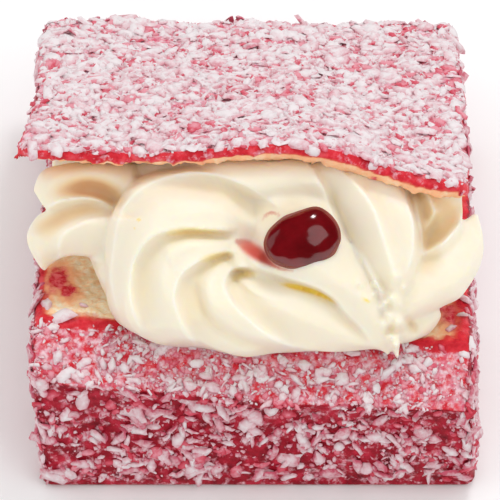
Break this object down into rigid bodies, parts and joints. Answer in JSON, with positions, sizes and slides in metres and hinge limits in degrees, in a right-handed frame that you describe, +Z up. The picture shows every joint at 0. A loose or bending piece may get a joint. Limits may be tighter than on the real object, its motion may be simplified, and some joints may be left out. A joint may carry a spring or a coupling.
{
  "type": "lamington cake",
  "caption": "Square coconut-dusted raspberry lamington cake, slit and opened like a mouth, filled with a piped cream swirl and topped with a drop of jam",
  "frame": {"origin": "centre of the cake's flat underside", "axes": "+Z up, the mouth with the cream faces -Y, +X to the right when looking at the mouth"},
  "size_m": [0.0851, 0.0933, 0.0577],
  "materials": {
    "sponge": "raspberry-soaked sponge dusted with coconut",
    "cream": "soft satin whipped cream",
    "jam": "wet glossy jam"
  },
  "bodies": {
    "root": {"sponge_cake": "sponge", "piped_cream": "cream", "jam_drop": "jam"}
  },
  "joints": []
}
